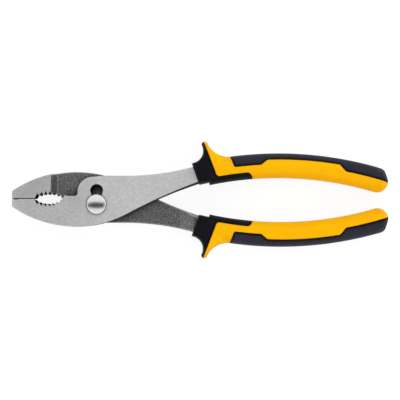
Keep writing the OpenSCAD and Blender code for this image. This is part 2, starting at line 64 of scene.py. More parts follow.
# Sizes of the object in millimetres; what the frame gives is taken from it
MM = 0.001
END_X = cad_high.x / MM
MID_HEIGHT = (cad_low.z + cad_high.z) / 2 / MM
HALF_THICKNESS = (cad_high.z - cad_low.z) / 2 / MM
LEVER_THICKNESS = 5.0

# The grip's section and its bend
HALF_WIDTH = 6.65
SIDE_RADIUS = 12.0
BEND_RADIUS = 186.6
BEND_SPREAD = 18.35
CREST_FROM_END = 57.9
GRIP_LENGTH = 104.0
BEND_CENTER = Vector((END_X - CREST_FROM_END, BEND_SPREAD - BEND_RADIUS))
END_ANGLE = math.asin(CREST_FROM_END / BEND_RADIUS)
FRONT_ANGLE = END_ANGLE - GRIP_LENGTH / BEND_RADIUS

# Collar, finger guard and rounded end; places count along the bend and offsets across it
COLLAR_LENGTH = 6.1
COLLAR_LEAN = math.radians(5.6)
COLLAR_OUTER = 6.9
COLLAR_INNER = -5.3
COLLAR_HALF_THICKNESS = 7.5
GUARD_RISE = 17.0
GUARD_PLACE = 7.8
GUARD_TIP_RADIUS = 1.6
GUARD_FRONT_RADIUS = 6.7
GUARD_BACK_RADIUS = 12.1
GUARD_TAPER_RADIUS = 15.0
END_INNER_RADIUS = 5.6
END_OUTER_RADIUS = 3.6
END_SETBACK = 1.1

# Seams between the collar, the core and the pad
INLAY_SLANT = 1.4
SEAM_TOP_PLACE = 7.4
SEAM_FOOT_PLACE = 11.4
SEAM_FOOT_ROUNDING = 2.0
STRIP_TOP = -3.3
STRIP_END = 28.8
STRIP_END_ROUNDING = 2.6
STRIP_TAIL = STRIP_END + INLAY_SLANT
PAD_START = 19.2
PAD_FRONT_EDGE = 0.15
PAD_NARROW_EDGE = 2.75
PAD_END_EDGE = -0.35
PAD_RAMP_IN = 34.8
PAD_RAMP_OUT = 76.2
PAD_RAMP = 3.6
PAD_ROUNDING = 1.4

# How far the moulded edges round over, and how deep the seams between the colours lie
FRONT_ROUNDING = 1.3
INNER_ROUNDING = 1.2
STEP_ROUNDING = 0.5
GUARD_ROUNDING = 1.3
GUARD_BLEND = 0.8
END_ROUNDING = 4.0
SEAM_DEPTH = 0.35

# Fineness of the grip's meshes: steps along an outline, rows inside it, and a grid in its middle
OUTLINE_STEP = 0.45
INNER_ROWS = (0.02, 0.07, 0.15, 0.25, 0.36, 0.55, 0.85, 1.25, 1.8, 2.6)
ROW_CLEARANCE_SHARE = 0.93
GRID_STEP = 1.3
SAME_POINT = 1e-6
PLAN_TOLERANCE = 1e-5
INSIDE_ONLY = 1

# The painted shade along a seam: where it is full and where it ends, and the name that carries the distance
SEAM_SHADE_BAND = (0.5, 1.7)
FROM_SEAM = "from_seam"

# The coarse teeth: the middle of the opening between them, and how far the painted shade on their walls
# reaches from it
OPENING = next(place for place in frame["record"]["physics"]["openings"] if place["name"] == "pipe_grip")
TEETH_MIDDLE = tuple(sum(ends) / 2 for ends in zip(*OPENING["box_m"]))
TEETH_REACH = (10.0, 6.0)
TEETH_FADE = (0.9, 1.0)

# The jaws: how far a darker grey reaches from the teeth, and where it starts to fade
DARKER_JAWS_REACH = (34.0, 34.0)
DARKER_JAWS_FADE = (0.35, 1.0)
DARKER_JAWS_SHADE = 0.86

# Marks on steel: their sizes, their stretch along the axes, and the detail of the fine ones
CLOUD_SIZE = 14.0
MOTTLE_SIZE = 0.9
MOTTLE_STRETCH = (0.6, 1.0, 1.0)
GRAIN_SIZE = 0.5
GRAIN_STRETCH = (0.2, 1.0, 1.0)
SPECKLE_SIZE = 0.6
FINE_DETAIL = 4.0

# Ground steel: its shades as shares of its own grey, and the share of it that mirrors
GROUND_CLOUD_SHADES = (0.92, 1.06)
MOTTLE_SHADE = 0.8
MOTTLE_BAND = (0.35, 0.65)
BRUSHED_SHADE = 0.8
BRUSHED_STRENGTH = 0.55
GROUND_ROUGHNESS = (0.72, 0.86)
GROUND_METAL = 0.5

# Forged steel: its shades as shares of its own grey, and the share of its walls that mirrors
FORGED_CLOUD_SHADES = (0.85, 1.15)
LIGHT_SPECKLE_SHADE = 2.8
LIGHT_SPECKLE_BAND = (0.5, 0.75)
DARK_SPECKLE_SHADE = 0.4
DARK_SPECKLE_STRENGTH = 0.6
DARK_SPECKLE_BAND = (0.3, 0.5)
WALL_SPECKLE_SHADE = 2.0
WALL_SPECKLE_STRENGTH = 0.5
WALL_METAL = 0.3
FORGED_ROUGHNESS = (0.42, 0.6)

# Edges on steel with their wear and a painted highlight, and painted shade in corners and between the
# teeth; a bump has a strength and a depth
EDGE_ROUNDING = 0.3
EDGE_SAMPLES = 8
WEAR_AND_HIGHLIGHT_BAND = (0.88, 0.995)
WEAR_AND_HIGHLIGHT_STRENGTH = 0.8
CORNER_SHADE_REACH = 4.0
UNSHADED_BAND = (0.37, 0.82)
CORNER_SHADE_GREY = 0.002
GULLET_SHADE_GREY = 0.004
SPECKLE_BUMP = (0.25, 0.06)
GRAIN_BUMP = (0.1, 0.04)

# Faces of a lever: the ground ones lie flat near its outer plane, and the steep ones are walls
GROUND_DEPTH = (0.1, 0.02)
FLAT_BAND = (0.9, 0.97)
FACING_BAND = (0.3, 0.45)

# The rivet, and the painted shade line round it
RIVET_GREYS = (0.74, 0.8)
RIVET_ROUGHNESS = (0.25, 0.31)
RIVET_WEAR_SIZE = 1.5
RIM_SHADE_WIDTH = 0.45
RIM_SHADE_GREY = 0.02
RIM_SHINE = 0.1

# Moulded plastic
PLASTIC_CLOUD_SIZE = 12.0
PLASTIC_DETAIL = 2.0
PLASTIC_BUMP = 0.2

# Noise: its detail, and the band of its values that a spread takes in
NOISE_DETAIL = 3.0
NOISE_ROUGHNESS = 0.55
NOISE_BAND = (0.3, 0.7)
FULL_BAND = (0.0, 1.0)

# The stage, in metres and watts
FLOOR_HALF_SIZE = (4.0, 4.0)
FLOOR_GREY = 0.16
FLOOR_GLOW = 0.9
CARD_HALF_SIZE = (1.6, 0.35)
CARD_PLACE = (-0.5, -0.1, 0.95)
CARD_GREY = 0.05
STAGE_ROUGHNESS = 0.9
AMBIENT = 0.86
LAMP_PLACE = (0.5, 0.9, 0.9)
LAMP_SIZE = (2.4, 1.3)
UPPER_POWER = 11.2
LOWER_POWER = 10.6

# The camera: its distance in metres, and the width and the point that it looks at in millimetres
CAMERA_DISTANCE = 0.5
CAMERA_FIELD = 214
CAMERA_POINT = (-0.32, -0.125)
CAMERA_TILT = math.radians(2.6)
CAMERA_ROLL = math.radians(0.193)
SENSOR_WIDTH = 36.0


# Node helpers

def add_node(tree, kind, inputs=None, **settings):
    """A node with its settings, and with its inputs set or linked."""
    node = tree.nodes.new(kind)
    for setting, value in settings.items():
        setattr(node, setting, value)
    for socket, value in (inputs or {}).items():
        if isinstance(value, bpy.types.NodeSocket):
            tree.links.new(value, node.inputs[socket])
        else:
            node.inputs[socket].default_value = value
    return node


def new_material(name):
    """A material and its tree, with the principled shader already in place."""
    material = bpy.data.materials.new(name)
    material.use_nodes = True
    tree = material.node_tree
    return material, tree, tree.nodes["Principled BSDF"]


def object_point(tree):
    """The place on the object in its own frame, in metres."""
    return add_node(tree, "ShaderNodeTexCoord").outputs["Object"]


def stretched(tree, stretch):
    """Object coordinates stretched along the axes, for grain that has a direction."""
    mapping = add_node(tree, "ShaderNodeMapping", {"Vector": object_point(tree), "Scale": stretch})
    return mapping.outputs["Vector"]


def noise(tree, size, detail=NOISE_DETAIL, stretch=None):
    """Noise whose features are about the given size in millimetres."""
    place = stretched(tree, stretch) if stretch else object_point(tree)
    node = add_node(
        tree, "ShaderNodeTexNoise",
        {"Vector": place, "Scale": 1 / (size * MM), "Detail": detail, "Roughness": NOISE_ROUGHNESS},
    )
    return node.outputs["Fac"]


def spread(tree, factor, low, high, band=NOISE_BAND):
    """A factor that lies in a band, spread between two values."""
    start, end = band
    node = add_node(
        tree, "ShaderNodeMapRange",
        {"Value": factor, "From Min": start, "From Max": end, "To Min": low, "To Max": high},
    )
    return node.outputs["Result"]


def combine(tree, operation, first, second=0.0):
    """A sum, product or other step between two values."""
    return add_node(tree, "ShaderNodeMath", {0: first, 1: second}, operation=operation).outputs["Value"]


def vector_step(tree, operation, inputs, output="Vector"):
    """A step between vectors, whose result is a vector or a value."""
    return add_node(tree, "ShaderNodeVectorMath", inputs, operation=operation).outputs[output]


def axis_part(tree, vector, axis):
    """One component of a vector."""
    return add_node(tree, "ShaderNodeSeparateXYZ", {"Vector": vector}).outputs[axis]


def distance_from(tree, middle, scale=(1, 1, 0)):
    """Distance from an upright axis through a point, with X and Y scaled first."""
    from_middle = vector_step(tree, "SUBTRACT", {0: object_point(tree), 1: tuple(middle)})
    flat = vector_step(tree, "MULTIPLY", {0: from_middle, 1: scale})
    return vector_step(tree, "LENGTH", {0: flat}, "Value")


def blend_colors(tree, factor, first, second):
    """A colour between two colours or colour sockets."""
    node = add_node(tree, "ShaderNodeMix", data_type="RGBA")
    in_use = [socket for socket in node.inputs if socket.enabled and socket.type in ("RGBA", "VALUE")]
    for name, value in (("Factor", factor), ("A", first), ("B", second)):
        target = next(socket for socket in in_use if socket.name == name)
        if isinstance(value, bpy.types.NodeSocket):
            tree.links.new(value, target)
        else:
            target.default_value = value
    return next(socket for socket in node.outputs if socket.type == "RGBA")


def bump(tree, height, strength, depth, below=None):
    """A bump normal from a height, on top of another normal if one is given; its depth in millimetres."""
    inputs = {"Height": height, "Strength": strength, "Distance": depth * MM}
    if below is not None:
        inputs["Normal"] = below
    return add_node(tree, "ShaderNodeBump", inputs).outputs["Normal"]


def grey(level):
    """A grey of one level."""
    return (level, level, level, 1.0)


# Masks on the steel

def rounded_edges(tree, radius):
    """The normal of the surface with its edges rounded over by a radius in millimetres."""
    node = add_node(tree, "ShaderNodeBevel", {"Radius": radius * MM}, samples=EDGE_SAMPLES)
    return node.outputs["Normal"]


def edge_wear_and_highlight(tree, reach):
    """One along sharp edges, over a reach in millimetres, and zero elsewhere."""
    true = add_node(tree, "ShaderNodeNewGeometry").outputs["True Normal"]
    match = vector_step(tree, "DOT_PRODUCT", {0: rounded_edges(tree, reach), 1: true}, "Value")
    return spread(tree, match, 1, 0, WEAR_AND_HIGHLIGHT_BAND)


def unshaded_mask(tree):
    """One on open faces, falling to zero in corners, gullets and narrow gaps, where shade is painted."""
    node = add_node(tree, "ShaderNodeAmbientOcclusion", {"Distance": CORNER_SHADE_REACH * MM}, samples=EDGE_SAMPLES)
    return spread(tree, node.outputs["AO"], 0, 1, UNSHADED_BAND)


def upright_mask(tree, band):
    """One on faces that lie flat and zero on walls."""
    normal = add_node(tree, "ShaderNodeTexCoord").outputs["Normal"]
    return spread(tree, combine(tree, "ABSOLUTE", axis_part(tree, normal, "Z")), 0, 1, band)


def ground_mask(tree):
    """One on the flat outer faces of a lever, which are ground, and zero on the forging between them."""
    height = combine(tree, "SUBTRACT", axis_part(tree, object_point(tree), "Z"), MID_HEIGHT * MM)
    depth = combine(tree, "ABSOLUTE", height)
    outer = spread(tree, depth, 0, 1, [(LEVER_THICKNESS - below) * MM for below in GROUND_DEPTH])
    return combine(tree, "MULTIPLY", outer, upright_mask(tree, FLAT_BAND))


def from_teeth(tree, reach):
    """Distance from the middle of the coarse teeth, as a share of a reach along X and Y."""
    return distance_from(tree, TEETH_MIDDLE, (*(1 / (size * MM) for size in reach), 0))


def gullet_shade_mask(tree):
    """One round the coarse teeth, where their walls get painted shade, and zero away from them."""
    return spread(tree, from_teeth(tree, TEETH_REACH), 1, 0, TEETH_FADE)


# Steel

def steel_marks(tree):
    """The marks that the faces of a lever share, from wide clouds to fine speckle."""
    return {
        "cloud": noise(tree, CLOUD_SIZE),
        "mottle": noise(tree, MOTTLE_SIZE, stretch=MOTTLE_STRETCH),
        "grain": noise(tree, GRAIN_SIZE, FINE_DETAIL, GRAIN_STRETCH),
        "speckle": noise(tree, SPECKLE_SIZE, FINE_DETAIL),
    }


def ground_color(tree, marks, level):
    """Satin ground steel with a brushed grain, a shade darker towards the jaws."""
    dull, bright = (grey(share * level) for share in GROUND_CLOUD_SHADES)
    color = blend_colors(tree, spread(tree, marks["cloud"], 0, 1), dull, bright)
    mottled = spread(tree, marks["mottle"], 0, 1, MOTTLE_BAND)
    color = blend_colors(tree, mottled, color, grey(MOTTLE_SHADE * level))
    brushed = spread(tree, marks["grain"], 0, BRUSHED_STRENGTH)
    color = blend_colors(tree, brushed, color, grey(BRUSHED_SHADE * level))
    # A darker grey towards the jaws, by distance from the teeth
    shade = spread(tree, from_teeth(tree, DARKER_JAWS_REACH), DARKER_JAWS_SHADE, 1, DARKER_JAWS_FADE)
    return vector_step(tree, "SCALE", {0: color, "Scale": shade})


def forged_color(tree, marks, level):
    """Dark forging with light and dark speckle."""
    dull, bright = (grey(share * level) for share in FORGED_CLOUD_SHADES)
    color = blend_colors(tree, spread(tree, marks["cloud"], 0, 1), dull, bright)
    light = spread(tree, marks["speckle"], 0, 1, LIGHT_SPECKLE_BAND)
    color = blend_colors(tree, light, color, grey(LIGHT_SPECKLE_SHADE * level))
    dark = spread(tree, marks["speckle"], DARK_SPECKLE_STRENGTH, 0, DARK_SPECKLE_BAND)
    return blend_colors(tree, dark, color, grey(DARK_SPECKLE_SHADE * level))


def wall_color(tree, marks, level, teeth):
    """Speckled forged walls, whose grey carries painted light and shade, and painted shade, near black,
    between the coarse teeth.
    """
    light = spread(tree, marks["speckle"], 0, WALL_SPECKLE_STRENGTH, LIGHT_SPECKLE_BAND)
    color = blend_colors(tree, light, grey(level), grey(WALL_SPECKLE_SHADE * level))
    # Painted shade: the walls between the coarse teeth go near black
    return blend_colors(tree, teeth, color, grey(GULLET_SHADE_GREY))


def lever_steel(name, ground, forged, wall_grey_and_shade, wear_and_highlight_reach):
    """Satin ground outer faces, dark speckled forging between them, and forged walls."""
    material, tree, shader = new_material(name)
    marks = steel_marks(tree)
    mask = ground_mask(tree)
    facing = upright_mask(tree, FACING_BAND)
    teeth = gullet_shade_mask(tree)
    unshaded = unshaded_mask(tree)

    walls = wall_color(tree, marks, wall_grey_and_shade, teeth)
    dark = blend_colors(tree, facing, walls, forged_color(tree, marks, forged))
    # Edges lighten towards the ground grey: wear, and on the rear lever's wide reach a painted highlight
    wear = spread(tree, edge_wear_and_highlight(tree, wear_and_highlight_reach), 0, WEAR_AND_HIGHLIGHT_STRENGTH, FULL_BAND)
    dark = blend_colors(tree, wear, dark, grey(ground))
    # Painted shade: corners, gullets and narrow gaps go near black
    dark = blend_colors(tree, unshaded, grey(CORNER_SHADE_GREY), dark)
    color = blend_colors(tree, mask, dark, ground_color(tree, marks, ground))
    tree.links.new(color, shader.inputs["Base Color"])

    # Painted shade in corners and the painted black walls between the teeth don't mirror, and ground faces
    # scatter a part of the light
    shine = combine(tree, "MAXIMUM", facing, spread(tree, teeth, WALL_METAL, 0, FULL_BAND))
    shine_outside_shade = combine(tree, "MULTIPLY", unshaded, shine)
    metal = combine(tree, "MULTIPLY", shine_outside_shade, spread(tree, mask, 1, GROUND_METAL, FULL_BAND))
    tree.links.new(metal, shader.inputs["Metallic"])
    shader.inputs["Specular IOR Level"].default_value = 0.0

    coarse = spread(tree, marks["speckle"], *FORGED_ROUGHNESS)
    satin = spread(tree, marks["grain"], *GROUND_ROUGHNESS)
    roughness = add_node(tree, "ShaderNodeMix", {"Factor": mask, "A": coarse, "B": satin}).outputs["Result"]
    tree.links.new(roughness, shader.inputs["Roughness"])
    skin = bump(tree, marks["speckle"], *SPECKLE_BUMP, rounded_edges(tree, EDGE_ROUNDING))
    tree.links.new(bump(tree, marks["grain"], *GRAIN_BUMP, skin), shader.inputs["Normal"])
    return material


def polished_steel():
    """Polished rivet with faint wear, and a painted contact shadow as a dark line round the rim of its
    head.
    """
    material, tree, shader = new_material("polished_steel")
    low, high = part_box("pivot_rivet")
    axis = (low + high) / 2
    reach = (high.x - low.x) / 2
    wear = noise(tree, RIVET_WEAR_SIZE)
    dull, bright = (grey(level) for level in RIVET_GREYS)
    color = blend_colors(tree, spread(tree, wear, 0, 1), dull, bright)
    # Painted contact shadow: a dark, non-metal ring at the rim of the head
    rim_band = (reach - RIM_SHADE_WIDTH * MM, reach - RIM_SHADE_WIDTH / 4 * MM)
    rim = spread(tree, distance_from(tree, axis), 0, 1, rim_band)
    tree.links.new(blend_colors(tree, rim, color, grey(RIM_SHADE_GREY)), shader.inputs["Base Color"])
    tree.links.new(combine(tree, "SUBTRACT", 1.0, rim), shader.inputs["Metallic"])
    shader.inputs["Specular IOR Level"].default_value = RIM_SHINE
    tree.links.new(spread(tree, wear, *RIVET_ROUGHNESS), shader.inputs["Roughness"])
    return material


# Plastic

def moulding(name, color, shade, seam, roughness, shine, grain_size, grain_depth):
    """A moulded plastic with a fine grain, faint clouding and a painted shade along its seams."""
    material, tree, shader = new_material(name)
    cloud = noise(tree, PLASTIC_CLOUD_SIZE)
    grain = noise(tree, grain_size, PLASTIC_DETAIL)
    tinted = blend_colors(tree, spread(tree, cloud, 0, 1), color, shade)
    from_seam = add_node(tree, "ShaderNodeAttribute", attribute_name=FROM_SEAM).outputs["Fac"]
    # Painted shade in the grooves along the seams
    tinted = blend_colors(tree, spread(tree, from_seam, 0, 1, SEAM_SHADE_BAND), seam, tinted)
    tree.links.new(tinted, shader.inputs["Base Color"])
    tree.links.new(spread(tree, grain, *roughness), shader.inputs["Roughness"])
    shader.inputs["Specular IOR Level"].default_value = shine
    tree.links.new(bump(tree, grain, PLASTIC_BUMP, grain_depth), shader.inputs["Normal"])
    return material


def yellow_plastic():
    """Smooth satin hard plastic."""
    return moulding(
        "yellow_plastic",
        color=(1.0, 0.5, 0.0, 1),
        shade=(0.96, 0.47, 0.0, 1),
        # The seam colour is a painted shade
        seam=(0.98, 0.47, 0.0, 1),
        roughness=(0.4, 0.5),
        shine=0.07,
        grain_size=0.3,
        grain_depth=0.02,
    )


def black_collar():
    """Matt soft plastic, the darker of the two."""
    return moulding(
        "black_collar",
        color=(0.005, 0.0045, 0.007, 1),
        shade=(0.008, 0.007, 0.011, 1),
        # The seam colour is a painted shade
        seam=(0.003, 0.003, 0.004, 1),
        roughness=(0.5, 0.65),
        shine=0.08,
        grain_size=0.25,
        grain_depth=0.04,
    )


def black_pad():
    """Matt soft plastic with a blue cast."""
    return moulding(
        "black_pad",
        color=(0.019, 0.017, 0.027, 1),
        shade=(0.025, 0.023, 0.036, 1),
        # The seam colour is a painted shade
        seam=(0.002, 0.002, 0.002, 1),
        roughness=(0.5, 0.65),
        shine=0.12,
        grain_size=0.25,
        grain_depth=0.04,
    )


MATERIALS = {
    # The two levers are one steel: painted shade makes the front lever's walls near black, painted light
    # makes the rear lever's walls lighter, and the rear lever's wide edge reach paints a highlight
    "ground_steel": lever_steel("ground_steel", ground=0.74, forged=0.11, wall_grey_and_shade=0.035, wear_and_highlight_reach=0.05),
    "forged_steel": lever_steel("forged_steel", ground=0.675, forged=0.235, wall_grey_and_shade=0.25, wear_and_highlight_reach=1.8),
    "polished_steel": polished_steel(),
    "yellow_plastic": yellow_plastic(),
    "black_collar": black_collar(),
    "black_pad": black_pad(),
}

for subpart in frame["record"]["subparts"]:
    node = frame["nodes"][subpart["node"]]
    node.data.materials.clear()
    node.data.materials.append(MATERIALS[subpart["material_slot"]])


# Points and paths on the grip's bend

def on_bend(place, offset):
    """A point of the upper grip, from its place along the bend and its offset across it."""
    angle = FRONT_ANGLE + place / BEND_RADIUS
    return BEND_CENTER + (BEND_RADIUS + offset) * Vector((math.sin(angle), math.cos(angle)))


def along_and_across(points):
    """The place along the bend and the offset across it of an array of points."""
    reach = points - np.array(BEND_CENTER)
    angle = np.arctan2(reach[:, 0], reach[:, 1])
    return (angle - FRONT_ANGLE) * BEND_RADIUS, np.hypot(reach[:, 0], reach[:, 1]) - BEND_RADIUS


def place_of(point):
    """The place of one point along the bend."""
    reach = point - BEND_CENTER
    return (math.atan2(reach.x, reach.y) - FRONT_ANGLE) * BEND_RADIUS


def offset_of(point):
    """The offset of one point across the bend."""
    return (point - BEND_CENTER).length - BEND_RADIUS


def radial(point):
    """The direction across the bend at a point."""
    return (point - BEND_CENTER).normalized()


def rounded(corners, radii):
    """A path through corners, with an arc at each inner one."""
    path = [Vector(corners[0])]
    for before, corner, after, radius in zip(corners, corners[1:], corners[2:], radii):
        before, corner, after = Vector(before), Vector(corner), Vector(after)
        into = (corner - before).normalized()
        out = (after - corner).normalized()
        turn = into.angle(out)
        side = Vector((-into.y, into.x)) * math.copysign(1, into.x * out.y - into.y * out.x)
        start = corner - radius * math.tan(turn / 2) * into
        steps = max(2, math.ceil(turn * radius / OUTLINE_STEP))
        for step in range(steps + 1):
            angle = turn * step / steps
            path.append(start + radius * ((1 - math.cos(angle)) * side + math.sin(angle) * into))
    path.append(Vector(corners[-1]))
    return path


def laid(path):
    """A path given along and across the grip, laid on the bend in short steps."""
    points = [on_bend(*path[0])]
    for first, second in zip(path, path[1:]):
        first, second = Vector(first), Vector(second)
        steps = max(1, math.ceil((second - first).length / OUTLINE_STEP))
        points += [on_bend(*first.lerp(second, step / steps)) for step in range(1, steps + 1)]
    return points


def straight(first, last):
    """Points along a straight line in short steps."""
    steps = math.ceil((last - first).length / OUTLINE_STEP)
    return [first.lerp(last, step / steps) for step in range(steps + 1)]


def arc(center, radius, start, end):
    """Points round a centre from one direction to another, the short way."""
    turn = start.angle_signed(end)
    steps = max(2, math.ceil(abs(turn) * radius / OUTLINE_STEP))
    first = math.atan2(start.y, start.x)
    angles = [first - turn * step / steps for step in range(steps + 1)]
    return [center + radius * Vector((math.cos(angle), math.sin(angle))) for angle in angles]


def split_at(points, offset):
    """A run of points cut where it first passes an offset."""
    offsets = [offset_of(point) for point in points]
    cut = next(i for i in range(1, len(points)) if (offsets[i - 1] - offset) * (offsets[i] - offset) <= 0)
    share = (offset - offsets[cut - 1]) / (offsets[cut] - offsets[cut - 1])
    middle = points[cut - 1].lerp(points[cut], share)
    return points[:cut] + [middle], [middle] + points[cut:]


# Outlines of the grip's pieces from above

def hollow_center(edge_offset, radius, side):
    """Centre of the hollow before or behind the guard, which touches the guard's tip and an edge."""
    tip_ring = BEND_RADIUS + GUARD_RISE - GUARD_TIP_RADIUS
    ring = BEND_RADIUS + edge_offset + radius
    reach = radius + GUARD_TIP_RADIUS
    turn = math.acos((tip_ring ** 2 + ring ** 2 - reach ** 2) / (2 * tip_ring * ring))
    return on_bend(GUARD_PLACE + side * turn * BEND_RADIUS, edge_offset + radius)


def past_tip(point, tip):
    """Whether a point lies above the rounding of the guard's tip."""
    reach = point - tip
    return reach.length > GUARD_TIP_RADIUS and radial(tip).dot(reach) > 0


def collar_seam(tip):
    """The seam between collar and core, from the skin up to the rounding of the guard's tip."""
    slope = (SEAM_TOP_PLACE - SEAM_FOOT_PLACE) / (GUARD_RISE + HALF_WIDTH)
    foot = (SEAM_FOOT_PLACE + slope * (STRIP_TOP + HALF_WIDTH), STRIP_TOP)
    seam = laid(rounded(
        [(STRIP_TAIL, -HALF_WIDTH), (STRIP_END, STRIP_TOP), foot, (SEAM_TOP_PLACE, GUARD_RISE)],
        [STRIP_END_ROUNDING, SEAM_FOOT_ROUNDING],
    ))
    while len(seam) > 2 and past_tip(seam[-2], tip):
        seam.pop()
    seam[-1] = tip + GUARD_TIP_RADIUS * (seam[-1] - tip).normalized()
    return seam


def pad_seam(end_place):
    """The seam between pad and core, with its two ramps, up to a place at the grip's end."""
    corners = [
        (PAD_START, HALF_WIDTH), (PAD_START + INLAY_SLANT, PAD_FRONT_EDGE),
        (PAD_RAMP_IN, PAD_FRONT_EDGE), (PAD_RAMP_IN + PAD_RAMP, PAD_NARROW_EDGE),
        (PAD_RAMP_OUT, PAD_NARROW_EDGE), (PAD_RAMP_OUT + PAD_RAMP, PAD_END_EDGE),
        (end_place, PAD_END_EDGE),
    ]
    return laid(rounded(corners, [PAD_ROUNDING] * (len(corners) - 2)))


def collar_front():
    """The collar's leaning front edge, from its outer to its inner corner."""
    lean = FRONT_ANGLE - COLLAR_LEAN
    across = Vector((math.sin(lean), math.cos(lean)))
    return straight(on_bend(0, 0) + COLLAR_OUTER * across, on_bend(0, 0) + COLLAR_INNER * across)


def end_rounding(ring, x):
    """The centre of a rounding at the grip's end, on a ring of the bend, and its place along the bend."""
    turn = math.asin((x - BEND_CENTER.x) / ring)
    center = BEND_CENTER + ring * Vector((math.sin(turn), math.cos(turn)))
    return center, (turn - FRONT_ANGLE) * BEND_RADIUS


def grip_end():
    """The rounded end of the grip from its inner to its outer skin, and where it leaves each of them."""
    inner, inner_stop = end_rounding(
        BEND_RADIUS - HALF_WIDTH + END_INNER_RADIUS, END_X - END_INNER_RADIUS,
    )
    outer, outer_stop = end_rounding(
        BEND_RADIUS + HALF_WIDTH - END_OUTER_RADIUS, END_X - END_SETBACK - END_OUTER_RADIUS,
    )
    axis = (outer - inner).normalized()
    tilt = (END_INNER_RADIUS - END_OUTER_RADIUS) / (outer - inner).length
    facing = tilt * axis + math.sqrt(1 - tilt ** 2) * Vector((axis.y, -axis.x))
    end = arc(inner, END_INNER_RADIUS, -radial(inner), facing)
    end += straight(inner + END_INNER_RADIUS * facing, outer + END_OUTER_RADIUS * facing)[1:-1]
    end += arc(outer, END_OUTER_RADIUS, facing, radial(outer))
    return end, inner_stop, outer_stop


def grip_outlines():
    """The three pieces' outlines, each a list of runs with the way its edge ends."""
    tip = on_bend(GUARD_PLACE, GUARD_RISE - GUARD_TIP_RADIUS)
    front_hollow = hollow_center(COLLAR_OUTER, GUARD_FRONT_RADIUS, -1)
    back_hollow = hollow_center(HALF_WIDTH, GUARD_BACK_RADIUS, 1)
    seam = collar_seam(tip)
    top = seam[-1]
    tip_front = arc(tip, GUARD_TIP_RADIUS, top - tip, front_hollow - tip)
    tip_back = arc(tip, GUARD_TIP_RADIUS, back_hollow - tip, top - tip)
    front_curve = arc(front_hollow, GUARD_FRONT_RADIUS, tip - front_hollow, -radial(front_hollow))
    back_curve = arc(back_hollow, GUARD_BACK_RADIUS, -radial(back_hollow), tip - back_hollow)

    front = collar_front()
    outer_corner, inner_corner = ((place_of(point), offset_of(point)) for point in (front[0], front[-1]))
    crown = laid([(place_of(front_hollow), COLLAR_OUTER), outer_corner])
    inner = laid([inner_corner, (COLLAR_LENGTH, COLLAR_INNER)])
    step = laid([(COLLAR_LENGTH, COLLAR_INNER), (COLLAR_LENGTH, -HALF_WIDTH)])
    strip_skin = laid([(COLLAR_LENGTH, -HALF_WIDTH), (STRIP_TAIL, -HALF_WIDTH)])

    end, inner_stop, outer_stop = grip_end()
    end_inner, end_outer = split_at(end, PAD_END_EDGE)
    pad_edge = pad_seam(place_of(end_inner[-1]))
    core_inner_skin = laid([(STRIP_TAIL, -HALF_WIDTH), (inner_stop, -HALF_WIDTH)])
    core_outer_skin = laid([(PAD_START, HALF_WIDTH), (place_of(back_hollow), HALF_WIDTH)])
    pad_skin = laid([(outer_stop, HALF_WIDTH), (PAD_START, HALF_WIDTH)])

    collar = [
        ("front", front), ("inner", inner), ("step", step), ("skin", strip_skin),
        ("seam", seam), ("guard", tip_front + front_curve + crown),
    ]
    core = [
        ("skin", core_inner_skin), ("end", end_inner), ("seam", pad_edge[::-1]),
        ("back", core_outer_skin), ("guard", back_curve + tip_back), ("seam", seam[::-1]),
    ]
    pad = [("seam", pad_edge), ("end", end_outer), ("skin", pad_skin)]
    return {"collar": collar, "core": core, "pad": pad}


# Height of the grip's surface above its middle plane

def smooth_step(value, low, high):
    """A change from zero to one between two values, without a kink."""
    share = np.clip((value - low) / (high - low), 0, 1)
    return share * share * (3 - 2 * share)


def oval(offset):
    """The grip's section: a round crown between two flatter sides."""
    flat_offset = SIDE_RADIUS - HALF_WIDTH
    gain = SIDE_RADIUS - HALF_THICKNESS
    rise = (flat_offset ** 2 - gain ** 2) / (2 * gain)
    crown_radius = HALF_THICKNESS - rise
    meet = SIDE_RADIUS * flat_offset / math.hypot(flat_offset, rise) - flat_offset
    size = np.abs(offset)
    crown = rise + np.sqrt(np.maximum(crown_radius ** 2 - size ** 2, 0))
    side = np.sqrt(np.maximum(SIDE_RADIUS ** 2 - (size + flat_offset) ** 2, 0))
    return np.where(size < meet, crown, side)


def guard_height(place, offset):
    """The guard: domed towards its tip, and drawn in behind it."""
    dome_base = GUARD_RISE - COLLAR_HALF_THICKNESS
    dome = np.sqrt(np.maximum(COLLAR_HALF_THICKNESS ** 2 - np.maximum(offset - dome_base, 0) ** 2, 0))
    behind = np.clip(place - GUARD_PLACE, 0, GUARD_TAPER_RADIUS)
    taper = COLLAR_HALF_THICKNESS - GUARD_TAPER_RADIUS + np.sqrt(GUARD_TAPER_RADIUS ** 2 - behind ** 2)
    return np.maximum(np.minimum(dome, taper), 0)


def blended_top(first, second):
    """The higher of two heights, with a soft change between them."""
    share = np.clip(0.5 + (first - second) / (2 * GUARD_BLEND), 0, 1)
    return second + (first - second) * share + GUARD_BLEND * share * (1 - share)


def closing(distance, rounding):
    """How far a surface has risen at a distance from a rounded-over edge."""
    return np.sqrt(1 - (1 - np.clip(distance / rounding, 0, 1)) ** 2)


def collar_height(place, offset, gap):
    """The collar, which grows to the grip's section behind its step, and the front of the guard."""
    grown = smooth_step(place, COLLAR_LENGTH - STEP_ROUNDING, COLLAR_LENGTH + STEP_ROUNDING)
    body = COLLAR_HALF_THICKNESS + (oval(offset) - COLLAR_HALF_THICKNESS) * grown
    height = np.where(offset > 0, np.maximum(body, guard_height(place, offset)), body)
    height *= closing(gap["front"], FRONT_ROUNDING)
    height *= closing(gap["inner"], INNER_ROUNDING)
    height *= closing(gap["step"], STEP_ROUNDING)
    return height * closing(gap["guard"], GUARD_ROUNDING)


